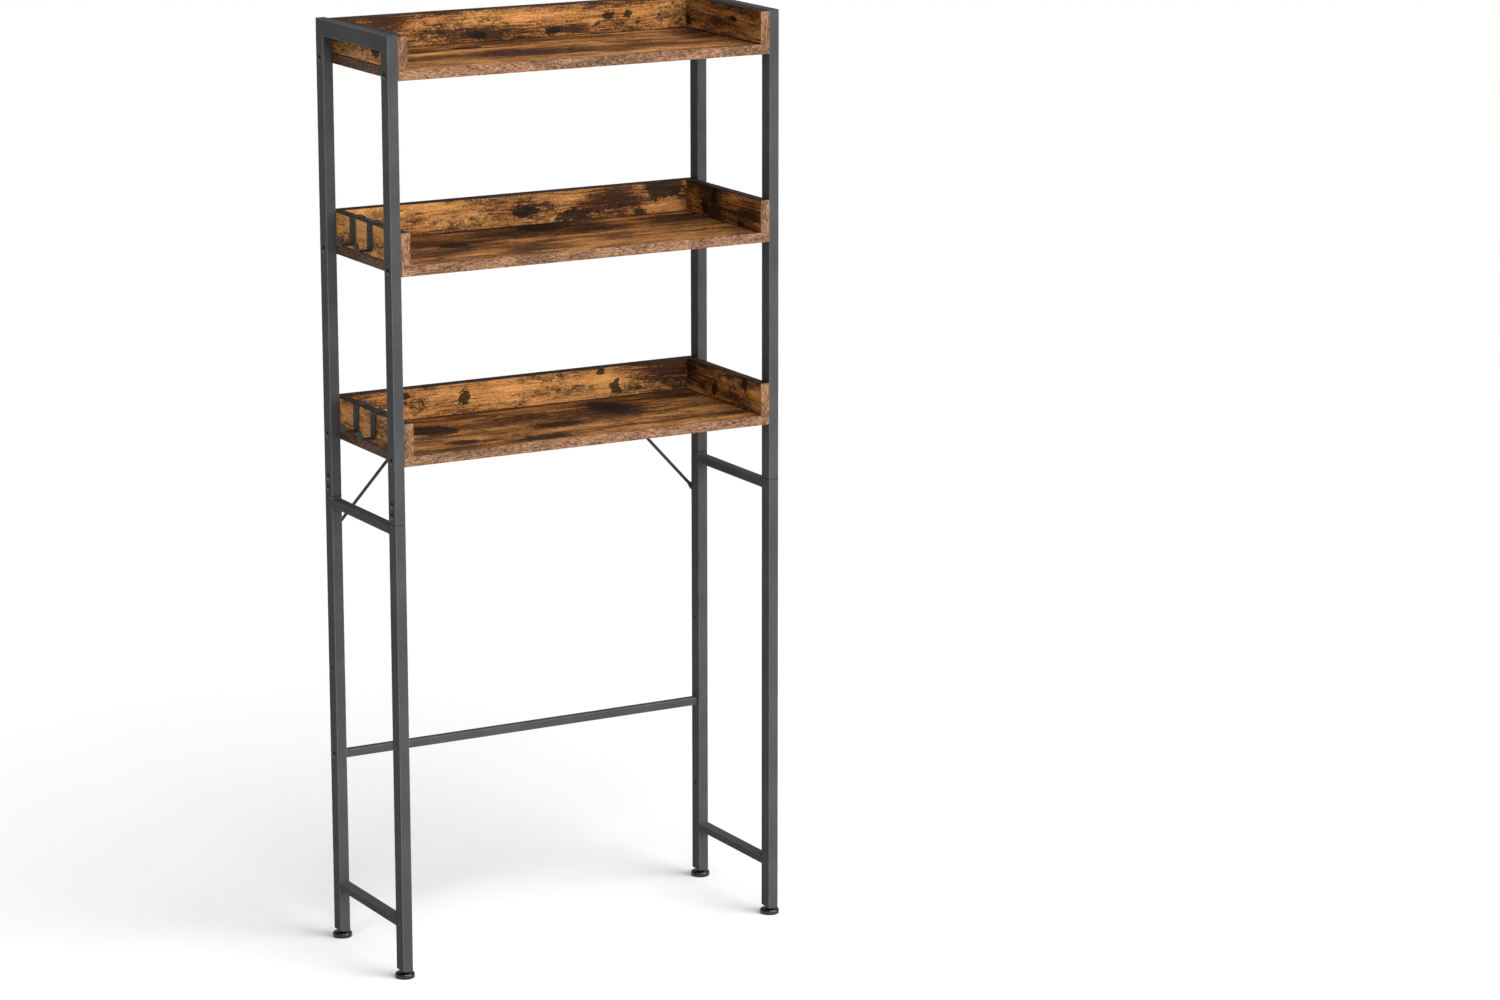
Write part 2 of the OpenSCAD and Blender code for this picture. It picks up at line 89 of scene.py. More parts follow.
class RackBoards(bpy.types.PropertyGroup):
    """Wood-effect boards of the trays"""

    light: bpy.props.FloatVectorProperty(
        name="Light grain", description="Lightest, golden grain",
        subtype="COLOR", size=3, min=0.0, max=1.0, default=(0.49, 0.225, 0.068))
    middle: bpy.props.FloatVectorProperty(
        name="Middle grain", description="Main brown of the boards",
        subtype="COLOR", size=3, min=0.0, max=1.0, default=(0.24, 0.092, 0.028))
    dark: bpy.props.FloatVectorProperty(
        name="Dark grain", description="Dark brown patches",
        subtype="COLOR", size=3, min=0.0, max=1.0, default=(0.052, 0.021, 0.010))
    knot: bpy.props.FloatVectorProperty(
        name="Knots", description="Knots and fine cracks",
        subtype="COLOR", size=3, min=0.0, max=1.0, default=(0.010, 0.007, 0.005))
    band: bpy.props.FloatVectorProperty(
        name="Edge band", description="Pale edge band on the boards' front edges",
        subtype="COLOR", size=3, min=0.0, max=1.0, default=(0.205, 0.108, 0.060))
    top_band: bpy.props.FloatVectorProperty(
        name="Rim band", description="Darker edge band on the trays' rims",
        subtype="COLOR", size=3, min=0.0, max=1.0, default=(0.036, 0.024, 0.018))
    rounding: bpy.props.FloatProperty(
        name="Edge rounding", description="Radius of every board edge",
        unit="LENGTH", subtype="DISTANCE", min=0.0002, max=0.003, default=0.0008)
    band_width: bpy.props.FloatProperty(
        name="Band thickness", description="Thickness of the edge band seen on the faces",
        unit="LENGTH", subtype="DISTANCE", min=0.0002, max=0.003, default=0.001)


class RackHooks(bpy.types.PropertyGroup):
    """Over-board hooks"""

    colour: bpy.props.FloatVectorProperty(
        name="Hook colour", description="Colour of the matt coat",
        subtype="COLOR", size=3, min=0.0, max=1.0, default=(0.013, 0.013, 0.0135))
    worn: bpy.props.FloatVectorProperty(
        name="Worn edge", description="Colour where the coat is thin along the edges",
        subtype="COLOR", size=3, min=0.0, max=1.0, default=(0.085, 0.085, 0.088))
    thickness: bpy.props.FloatProperty(
        name="Strip thickness", description="Thickness of the bent strip",
        unit="LENGTH", subtype="DISTANCE", min=0.001, max=0.003, default=0.002)
    bend: bpy.props.FloatProperty(
        name="Bend radius", description="Inner radius of every bend",
        unit="LENGTH", subtype="DISTANCE", min=0.0005, max=0.003, default=0.001)
    tab: bpy.props.FloatProperty(
        name="Tab height", description="Height of the tab behind the board",
        unit="LENGTH", subtype="DISTANCE", min=0.011, max=0.02, default=0.014)
    tip: bpy.props.FloatProperty(
        name="Tip height", description="Height of the upturned tip",
        unit="LENGTH", subtype="DISTANCE", min=0.012, max=0.03, default=0.017)
    reach: bpy.props.FloatProperty(
        name="Reach", description="From the long plate out to the tip",
        unit="LENGTH", subtype="DISTANCE", min=0.015, max=0.04, default=0.026)
    edge: bpy.props.FloatProperty(
        name="Edge rounding", description="Radius of the strip's edges",
        unit="LENGTH", subtype="DISTANCE", min=0.0001, max=0.0009, default=0.0005)


class RackFeet(bpy.types.PropertyGroup):
    """Levelling feet"""

    colour: bpy.props.FloatVectorProperty(
        name="Pad colour", description="Colour of the moulded pads",
        subtype="COLOR", size=3, min=0.0, max=1.0, default=(0.004, 0.004, 0.0045))
    dome: bpy.props.FloatProperty(
        name="Dome radius", description="Radius of the pad's round shoulder",
        unit="LENGTH", subtype="DISTANCE", min=0.001, max=0.006, default=0.0035)
    disc: bpy.props.FloatProperty(
        name="Disc height", description="Height of the pad's disc",
        unit="LENGTH", subtype="DISTANCE", min=0.006, max=0.012, default=0.0095)
    collar: bpy.props.FloatProperty(
        name="Collar diameter", description="Diameter of the collar round the stud",
        unit="LENGTH", subtype="DISTANCE", min=0.012, max=0.02, default=0.015)


class RackBraces(bpy.types.PropertyGroup):
    """Knee braces"""

    rod: bpy.props.FloatProperty(
        name="Rod diameter", description="Diameter of the round rod",
        unit="LENGTH", subtype="DISTANCE", min=0.004, max=0.01, default=0.006)
    flat: bpy.props.FloatProperty(
        name="Flat thickness", description="Thickness of the flattened ends",
        unit="LENGTH", subtype="DISTANCE", min=0.001, max=0.004, default=0.0024)
    flat_width: bpy.props.FloatProperty(
        name="Flat width", description="Width of the flattened ends",
        unit="LENGTH", subtype="DISTANCE", min=0.008, max=0.016, default=0.012)


class RackStage(bpy.types.PropertyGroup):
    """Floor, lights and camera"""

    floor: bpy.props.FloatVectorProperty(
        name="Floor colour", description="Colour of the plain floor",
        subtype="COLOR", size=3, min=0.0, max=1.0, default=(0.84, 0.84, 0.835))
    key: bpy.props.FloatProperty(
        name="Key light", description="Strength of the soft light from the front right",
        min=0.0, max=20.0, default=4.3)
    fill: bpy.props.FloatProperty(
        name="Soft box", description="Power of the large upright soft box at the front right",
        unit="POWER", min=0.0, max=5000.0, default=85.0)
    glint: bpy.props.FloatProperty(
        name="Glint", description="Power of the small light that shows on bolts and pads",
        unit="POWER", min=0.0, max=500.0, default=26.0)
    sky: bpy.props.FloatProperty(
        name="Room light", description="Strength of the light that comes from all round",
        min=0.0, max=5.0, default=0.36)
    lean: bpy.props.FloatProperty(
        name="Room light lean", description="How much more room light comes from the front right",
        min=0.0, max=0.5, default=0.16)
    lens: bpy.props.FloatProperty(
        name="Lens", description="Focal length of the camera",
        unit="CAMERA", min=20.0, max=300.0, default=111.13)


SETTINGS = {
    "rack_coat": RackCoat,
    "rack_boards": RackBoards,
    "rack_hooks": RackHooks,
    "rack_feet": RackFeet,
    "rack_braces": RackBraces,
    "rack_stage": RackStage,
}


# ---------------------------------------------------------------- node helpers


class Wiring:
    """Short calls that add nodes to one tree and link them"""

    def __init__(self, tree):
        self.tree = tree

    def node(self, kind, **settings):
        made = self.tree.nodes.new(kind)
        for key, value in settings.items():
            setattr(made, key, value)
        return made

    def feed(self, socket, value):
        if isinstance(value, bpy.types.NodeSocket):
            self.tree.links.new(value, socket)
        elif value is not None:
            socket.default_value = value

    def math(self, operation, a, b=None, clamp=False):
        made = self.node("ShaderNodeMath", operation=operation, use_clamp=clamp)
        self.feed(made.inputs[0], a)
        self.feed(made.inputs[1], b)
        return made.outputs[0]

    def vector(self, operation, a, b=None):
        made = self.node("ShaderNodeVectorMath", operation=operation)
        self.feed(made.inputs[0], a)
        self.feed(made.inputs[1], b)
        return made.outputs["Value" if operation == "LENGTH" else "Vector"]

    def noise(self, place, scale, detail=3.0, rough=0.5, bend=0.0, colour=False, shift=None):
        """Noise that is finer by scale along each axis, and moved on by shift"""
        place = self.vector("MULTIPLY", place, scale)
        if shift:
            place = self.vector("ADD", place, shift)
        made = self.node("ShaderNodeTexNoise")
        self.feed(made.inputs["Vector"], place)
        made.inputs["Scale"].default_value = 1.0
        made.inputs["Detail"].default_value = detail
        made.inputs["Roughness"].default_value = rough
        made.inputs["Distortion"].default_value = bend
        return made.outputs["Color" if colour else "Fac"]

    def spread(self, value, low, high, to_low=0.0, to_high=1.0):
        made = self.node("ShaderNodeMapRange", interpolation_type="SMOOTHSTEP")
        for key, item in enumerate((value, low, high, to_low, to_high)):
            self.feed(made.inputs[key], item)
        return made.outputs[0]

    def ramp(self, value, stops):
        made = self.node("ShaderNodeValToRGB")
        points = made.color_ramp.elements
        while len(points) < len(stops):
            points.new(0.5)
        for point, (place, colour) in zip(points, stops):
            point.position = place
            point.color = (*colour, 1.0)
        self.feed(made.inputs[0], value)
        return made.outputs["Color"]

    def mix(self, amount, a, b):
        made = self.node("ShaderNodeMix", data_type="RGBA")
        self.feed(made.inputs[0], amount)
        for socket, item in ((made.inputs[6], a), (made.inputs[7], b)):
            self.feed(socket, item if isinstance(item, bpy.types.NodeSocket) else (*item, 1.0))
        return made.outputs[2]

    def bump(self, height, strength, distance):
        made = self.node("ShaderNodeBump")
        made.inputs["Strength"].default_value = strength
        made.inputs["Distance"].default_value = distance
        self.feed(made.inputs["Height"], height)
        return made.outputs["Normal"]


def new_material(name):
    """An empty material with its wiring, its surface shader and its object coordinates"""
    material = bpy.data.materials.new(name)
    material.use_nodes = True
    tree = material.node_tree
    tree.nodes.clear()
    wires = Wiring(tree)
    shader = wires.node("ShaderNodeBsdfPrincipled")
    output = wires.node("ShaderNodeOutputMaterial")
    tree.links.new(shader.outputs["BSDF"], output.inputs["Surface"])
    place = wires.node("ShaderNodeTexCoord").outputs["Object"]
    return material, wires, shader.inputs, place


def tint(colour, factor):
    """The same colour, darker or lighter"""
    return tuple(min(1.0, part * factor) for part in colour)


# ---------------------------------------------------------------- finishes


def coat_material(name, colour, roughness, worn=None, seam=None):
    """Satin powder coat: fine orange peel, faint mottling, painted highlight and thin coat on the
    corners, painted shadow line at the seam
    """
    material, wires, shader, place = new_material(name)
    cloud = wires.noise(place, (9.0, 9.0, 9.0), 3.0, 0.6)
    peel = wires.noise(place, (1100.0, 1100.0, 1100.0), 2.0, 0.55)
    paint = wires.mix(wires.spread(cloud, 0.3, 0.7), tint(colour, 0.88), tint(colour, 1.14))
    paint = wires.mix(wires.spread(peel, 0.56, 0.7, 0.0, 0.35), paint, tint(colour, 1.5))
    # Painted highlight: where the normal lies between two axes, on the rounded corners, the worn
    # colour is mixed in and broken up by noise; it stands in for the corners' sheen and also shows
    # thin coat
    if worn:
        facing = wires.node("ShaderNodeSeparateXYZ")
        wires.feed(facing.inputs[0], wires.vector(
            "ABSOLUTE", wires.node("ShaderNodeNewGeometry").outputs["Normal"]))
        x, y, z = facing.outputs
        second = wires.math("MAXIMUM", wires.math("MINIMUM", x, y),
                            wires.math("MINIMUM", z, wires.math("MAXIMUM", x, y)))
        patchy = wires.noise(place, (90.0, 90.0, 25.0), 3.0, 0.6)
        thin = wires.math("MULTIPLY", wires.spread(second, 0.3, 0.62),
                          wires.spread(patchy, 0.3, 0.6, 0.45, 0.9))
        paint = wires.mix(thin, paint, worn)
    # Painted shadow: a near-black line round the tube at the seam height, for the shade in the gap
    # where post and leg meet
    if seam:
        height, width = seam
        up = wires.node("ShaderNodeSeparateXYZ")
        wires.feed(up.inputs[0], place)
        away = wires.math("ABSOLUTE", wires.math("SUBTRACT", up.outputs["Z"], height))
        line = wires.spread(away, width * 0.25, width * 0.6, 1.0, 0.0)
        paint = wires.mix(line, paint, tint(colour, 0.08))
    wires.feed(shader["Base Color"], paint)
    shader["Specular IOR Level"].default_value = MIRROR["coat"]
    matt = wires.spread(cloud, 0.25, 0.75, roughness - 0.04, roughness + 0.05)
    wires.feed(shader["Roughness"], wires.math("ADD", matt, wires.spread(peel, 0.3, 0.7, 0, 0.05)))
    wires.feed(shader["Normal"], wires.bump(peel, 0.5, 0.00012))
    return material


def hook_material(settings):
    """Matt coat with a fine sandy texture, worn thin along the strip's edges"""
    material, wires, shader, place = new_material("hook coat")
    sand = wires.noise(place, (1500.0,) * 3, 3.0, 0.6)
    wear = wires.noise(place, (240.0,) * 3, 3.0, 0.6)
    edge = wires.node("ShaderNodeAttribute", attribute_name="edge").outputs["Fac"]
    colour = tuple(settings.colour)
    paint = wires.mix(wires.spread(sand, 0.4, 0.7), tint(colour, 0.8), tint(colour, 1.6))
    worn = wires.math("MULTIPLY", edge, wires.spread(wear, 0.35, 0.6), clamp=True)
    wires.feed(shader["Base Color"], wires.mix(worn, paint, tuple(settings.worn)))
    shader["Specular IOR Level"].default_value = MIRROR["hook"]
    wires.feed(shader["Roughness"], wires.spread(sand, 0.3, 0.7, 0.5, 0.66))
    wires.feed(shader["Normal"], wires.bump(sand, 0.6, 0.00012))
    return material


def moulded_material(name, colour, roughness, ripple):
    """Moulded plastic: faint flow marks and tiny scuffs"""
    material, wires, shader, place = new_material(name)
    flow = wires.noise(place, (60.0, 60.0, 20.0), 3.0, 0.5)
    scuff = wires.noise(place, (700.0, 160.0, 700.0), 4.0, 0.65, 0.4)
    paint = wires.mix(wires.spread(flow, 0.3, 0.7), tint(colour, 0.8), tint(colour, 1.3))
    wires.feed(shader["Base Color"], wires.mix(wires.spread(scuff, 0.62, 0.72, 0.0, 0.3), paint,
                                               tint(colour, 3.0)))
    wires.feed(shader["Roughness"], wires.spread(scuff, 0.45, 0.75, roughness, roughness + 0.16))
    wires.feed(shader["Normal"], wires.bump(flow, 0.2, ripple))
    return material


def bright_material():
    """Zinc plate with a crystalline mottle and drawn lines"""
    material, wires, shader, place = new_material("zinc plate")
    mottle = wires.noise(place, (420.0,) * 3, 2.0, 0.5)
    lines = wires.noise(place, (260.0, 260.0, 3200.0), 2.0, 0.5)
    wires.feed(shader["Base Color"], wires.mix(wires.spread(mottle, 0.35, 0.65),
                                               (0.50, 0.50, 0.485), (0.64, 0.64, 0.62)))
    shader["Metallic"].default_value = 1.0
    wires.feed(shader["Roughness"], wires.spread(lines, 0.3, 0.7, 0.26, 0.42))
    wires.feed(shader["Normal"], wires.bump(lines, 0.35, 0.00004))
    return material


def bolt_material():
    """Black oxide with light rubbed spots"""
    material, wires, shader, place = new_material("black oxide")
    cloud = wires.noise(place, (500.0,) * 3, 3.0, 0.6)
    rub = wires.noise(place, (1800.0,) * 3, 2.0, 0.5)
    paint = wires.mix(wires.spread(cloud, 0.3, 0.7), (0.004, 0.004, 0.0045), (0.010, 0.010, 0.0105))
    wires.feed(shader["Base Color"], wires.mix(wires.spread(rub, 0.62, 0.74, 0.0, 0.4), paint,
                                               (0.05, 0.05, 0.05)))
    wires.feed(shader["Roughness"], wires.spread(cloud, 0.25, 0.75, 0.13, 0.24))
    wires.feed(shader["Normal"], wires.bump(rub, 0.3, 0.00005))
    return material


def board_pattern(settings):
    """Node group of the rustic wood print. Place is along the grain, across it, through it"""
    group = bpy.data.node_groups.new("rustic board", "ShaderNodeTree")
    face = group.interface
    face.new_socket("Place", in_out="INPUT", socket_type="NodeSocketVector")
    for name in ("Tone", "Gold", "Brown", "Crackle", "Knot"):
        face.new_socket(name, in_out="INPUT", socket_type="NodeSocketFloat")
    face.new_socket("Color", in_out="OUTPUT", socket_type="NodeSocketColor")
    for name in ("Roughness", "Height"):
        face.new_socket(name, in_out="OUTPUT", socket_type="NodeSocketFloat")
    wires = Wiring(group)
    given = wires.node("NodeGroupInput").outputs
    result = wires.node("NodeGroupOutput").inputs

    wave = wires.noise(given["Place"], (6.0, 16.0, 4.0), 2.0, 0.5, colour=True,
                       shift=(3.1, 7.7, 0.4))
    wave = wires.vector("MULTIPLY", wires.vector("SUBTRACT", wave, (0.5, 0.5, 0.5)),
                        (0.05, 0.014, 0.0))
    place = wires.vector("ADD", given["Place"], wave)
    grain = wires.noise(place, (2.4, 40.0, 5.0), 5.0, 0.62, shift=(1.3, 0.7, 2.0))
    fine = wires.noise(place, (20.0, 300.0, 30.0), 4.0, 0.6, shift=(8.1, 3.3, 5.0))
    speck = wires.noise(place, (230.0, 420.0, 90.0), 2.0, 0.6, shift=(2.9, 5.3, 7.0))
    blotch = wires.noise(place, (7.0, 21.0, 3.0), 3.0, 0.55, shift=(2.2, 9.4, 1.0))
    crack = wires.noise(place, (88.0, 150.0, 50.0), 4.0, 0.7, 0.9, shift=(5.5, 1.9, 3.0))
    coarse = wires.noise(place, (38.0, 85.0, 20.0), 3.0, 0.6, 0.5, shift=(1.5, 4.9, 6.0))
    cluster = wires.noise(place, (10.0, 27.0, 3.0), 3.0, 0.6, shift=(4.7, 6.1, 8.0))

    value = given["Tone"]
    for layer, weight in ((grain, 0.58), (fine, 0.6), (speck, 0.42), (blotch, 0.42)):
        value = wires.math("ADD", value, wires.math("MULTIPLY", wires.math("SUBTRACT", layer, 0.5),
                                                    weight))
    value = wires.math("ADD", value, wires.math("MULTIPLY", given["Gold"], 0.07))
    value = wires.math("SUBTRACT", value, wires.math("MULTIPLY", given["Brown"], 0.14))
    light, middle, dark = tuple(settings.light), tuple(settings.middle), tuple(settings.dark)
    colour = wires.ramp(wires.math("ADD", value, 0.5), [
        (0.36, tint(dark, 0.8)), (0.43, tint(middle, 0.42)), (0.50, middle),
        (0.57, tint(light, 0.78)), (0.65, light), (0.76, tint(light, 1.4))])
    # dark marks: a net of fine cracks inside clusters, solid towards the heart of a knot
    reach = wires.math("ADD", wires.spread(cluster, 0.44, 0.62, 0.0, 0.9), given["Crackle"],
                       clamp=True)
    net = wires.spread(wires.math("ABSOLUTE", wires.math("SUBTRACT", crack, 0.5)),
                       0.018, 0.065, 1.0, 0.0)
    net = wires.math("MULTIPLY", net, wires.math("MULTIPLY", reach, wires.spread(coarse, 0.36, 0.5)))
    colour = wires.mix(wires.math("MULTIPLY", net, 0.85), colour, tint(tuple(settings.knot), 2.2))
    rag = wires.math("ADD", wires.math("MULTIPLY", crack, 0.7), wires.math("MULTIPLY", coarse, 0.3))
    lift = wires.math("ADD", wires.math("MULTIPLY", reach, 0.07),
                      wires.math("MULTIPLY", given["Knot"], 0.34))
    marks = wires.spread(wires.math("ADD", rag, lift), 0.60, 0.655)
    colour = wires.mix(wires.math("MULTIPLY", marks, 0.9), colour,
                       wires.mix(given["Knot"], tint(tuple(settings.knot), 1.8),
                                 tuple(settings.knot)))
    marks = wires.math("MAXIMUM", marks, net)
    wires.feed(result["Color"], colour)
    matt = wires.spread(fine, 0.3, 0.7, 0.46, 0.58)
    matt = wires.math("ADD", matt, wires.math("MULTIPLY", marks, 0.14))
    wires.feed(result["Roughness"], matt)
    wires.feed(result["Height"], wires.math("SUBTRACT", fine, wires.math("MULTIPLY", marks, 0.8)))
    return group


def board_place(wires, place, along, across, base):
    """Object coordinates turned so that x runs along the grain and y across it"""
    parts = wires.node("ShaderNodeSeparateXYZ")
    wires.feed(parts.inputs[0], place)
    through = ({"X", "Y", "Z"} - {along, across}).pop()
    turned = wires.node("ShaderNodeCombineXYZ")
    wires.feed(turned.inputs[0], parts.outputs[along])
    wires.feed(turned.inputs[1], wires.math("SUBTRACT", parts.outputs[across], base))
    wires.feed(turned.inputs[2], parts.outputs[through])
    return turned.outputs[0]


def board_material(name, pattern, along, across, base, tone, marks, number):
    """One board's face: the shared print, moved on, with its own knots and patches"""
    material, wires, shader, place = new_material(name)
    place = board_place(wires, place, along, across, base)
    wobble = wires.noise(place, (45.0, 60.0, 1.0), 3.0, 0.6, colour=True)
    wobble = wires.vector("MULTIPLY", wires.vector("SUBTRACT", wobble, (0.5, 0.5, 0.5)),
                          (0.03, 0.014, 0.0))
    spot_place = wires.vector("ADD", place, wobble)
    sums = {}
    for kind, g, c, reach_g, reach_c in marks:
        away = wires.vector("SUBTRACT", spot_place, (g * MM, c * MM, 0.0))
        away = wires.vector("MULTIPLY", away, (1 / (reach_g * MM), 1 / (reach_c * MM), 0.0))
        spot = wires.spread(wires.vector("LENGTH", away), 0.2, 1.5, 1.0, 0.0)
        sums[kind] = wires.math("MAXIMUM", sums[kind], spot) if kind in sums else spot
    made = wires.node("ShaderNodeGroup", node_tree=pattern)
    shifted = wires.vector("ADD", place, (1.37 * number, 0.61 * number, 0.0))
    wires.feed(made.inputs["Place"], shifted)
    made.inputs["Tone"].default_value = tone
    for kind in ("Gold", "Brown", "Crackle", "Knot"):
        wires.feed(made.inputs[kind], sums.get(kind, 0.0))
    wires.feed(shader["Base Color"], made.outputs["Color"])
    wires.feed(shader["Roughness"], made.outputs["Roughness"])
    shader["Specular IOR Level"].default_value = MIRROR["board"]
    wires.feed(shader["Normal"], wires.bump(made.outputs["Height"], 0.35, 0.00018))
    return material


def band_material(name, colour, along, across, speckle):
    """Edge band: short dark dashes and grey patches along the edge"""
    material, wires, shader, place = new_material(name)
    place = board_place(wires, place, along, across, 0.0)
    dash = wires.noise(place, (130.0, 520.0, 520.0), 3.0, 0.7, 0.5)
    cloud = wires.noise(place, (14.0, 40.0, 40.0), 3.0, 0.6)
    paint = wires.mix(wires.spread(cloud, 0.35, 0.65), tint(colour, 0.6), tint(colour, 1.25))
    paint = wires.mix(wires.spread(dash, 0.5, 0.6, 0.0, speckle), paint, tint(colour, 0.16))
    paint = wires.mix(wires.spread(dash, 0.45, 0.33, 0.0, 0.8), paint, tint(colour, 2.0))
    wires.feed(shader["Base Color"], paint)
    shader["Specular IOR Level"].default_value = MIRROR["band"]
    wires.feed(shader["Roughness"], wires.spread(dash, 0.3, 0.7, 0.42, 0.58))
    wires.feed(shader["Normal"], wires.bump(dash, 0.3, 0.00012))
    return material


# ---------------------------------------------------------------- mesh helpers


def piece_from(name, bm, materials, body, nodes=()):
    """Turns a bmesh into a piece that rides on a body and stands for CAD nodes"""
    bmesh.ops.recalc_face_normals(bm, faces=bm.faces)
    mesh = bpy.data.meshes.new(name)
    bm.to_mesh(mesh)
    bm.free()
    for material in materials:
        mesh.materials.append(material)
    piece = bpy.data.objects.new(name, mesh)
    bpy.context.scene.collection.objects.link(piece)
    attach(piece, body)
    if nodes:
        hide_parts(*nodes)
    return piece


def skin_rings(bm, rings):
    """Joins rings of equal length into a tube of quads, with a face on each end"""
    rows = [[bm.verts.new(point) for point in ring] for ring in rings]
    count = len(rows[0])
    made = []
    for first, second in zip(rows, rows[1:]):
        for k in range(count):
            n = (k + 1) % count
            made.append(bm.faces.new((first[k], first[n], second[n], second[k])))
    made.append(bm.faces.new(rows[0]))
    made.append(bm.faces.new(list(reversed(rows[-1]))))
    for item in made:
        item.smooth = True
    return rows


def lathe(bm, profile, centre, turns=64):
    """Turns a closed profile of (radius, height) pairs round the upright line through centre"""
    rings = []
    for radius, height in profile:
        ring = []
        for k in range(turns):
            angle = 2 * math.pi * k / turns
            ring.append(Vector((centre.x + radius * math.cos(angle),
                                centre.y + radius * math.sin(angle), centre.z + height)))
        rings.append(ring)
    skin_rings(bm, rings)


def arc(centre, radius, start, end, steps):
    """Points on an arc, angles in degrees"""
    points = []
    for k in range(steps + 1):
        angle = math.radians(start + (end - start) * k / steps)
        points.append((centre[0] + radius * math.cos(angle), centre[1] + radius * math.sin(angle)))
    return points


def islands(node):
    """Box of each separate solid in a CAD node"""
    mesh = NODES[node].data
    bm = bmesh.new()
    bm.from_mesh(mesh)
    bmesh.ops.remove_doubles(bm, verts=bm.verts, dist=1e-6)
    seen = set()
    boxes = []
    for start in bm.verts:
        if start in seen:
            continue
        seen.add(start)
        stack = [start]
        low, high = start.co.copy(), start.co.copy()
        while stack:
            vert = stack.pop()
            low = Vector(map(min, low, vert.co))
            high = Vector(map(max, high, vert.co))
            for link in vert.link_edges:
                other = link.other_vert(vert)
                if other not in seen:
                    seen.add(other)
                    stack.append(other)
        boxes.append((low, high))
    bm.free()
    return boxes


def paint_nodes(names, material):
    """Gives CAD nodes their finish"""
    for name in names:
        for slot in NODES[name].material_slots:
            slot.material = material


# ---------------------------------------------------------------- operators


class RACK_OT_frame(bpy.types.Operator):
    """Finish of the posts, legs, rails and bar, and of the small parts in them"""

    bl_idname = "rack.frame"
    bl_label = "Steel frame"

    def execute(self, context):
        settings = context.scene.rack_coat
        colour = tuple(settings.colour)
        # Height of the seam that gets the painted shadow line
        seam_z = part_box("left_front_post")[0].z
        # The worn colour passed here is the painted corner highlight, which also shows thin coat
        coat = coat_material("frame coat", colour, settings.roughness, tuple(settings.worn),
                             (seam_z, settings.seam_width))
        tubes = [f"{c}_{kind}" for c in CORNERS for kind in ("post", "leg")]
        tubes += [f"{s}_{kind}" for s in SIDES
                  for kind in ("top_rail", "upper_cross_rail", "lower_cross_rail")]
        paint_nodes(tubes + ["rear_bar"], coat)
        plug = moulded_material("plug plastic", (0.018, 0.018, 0.019), 0.55, 0.00008)
        paint_nodes([f"{c}_leg_plug" for c in CORNERS] + ["bar_end_plugs"], plug)
        zinc = bright_material()
        paint_nodes([f"{c}_{kind}" for c in CORNERS for kind in ("splice_insert", "foot_stud")], zinc)
        paint_nodes(["tray_inserts", "splice_nuts"], zinc)
        paint_nodes(["tray_bolts", "splice_bolts", "bar_bolts", "brace_screws"], bolt_material())
        return {"FINISHED"}


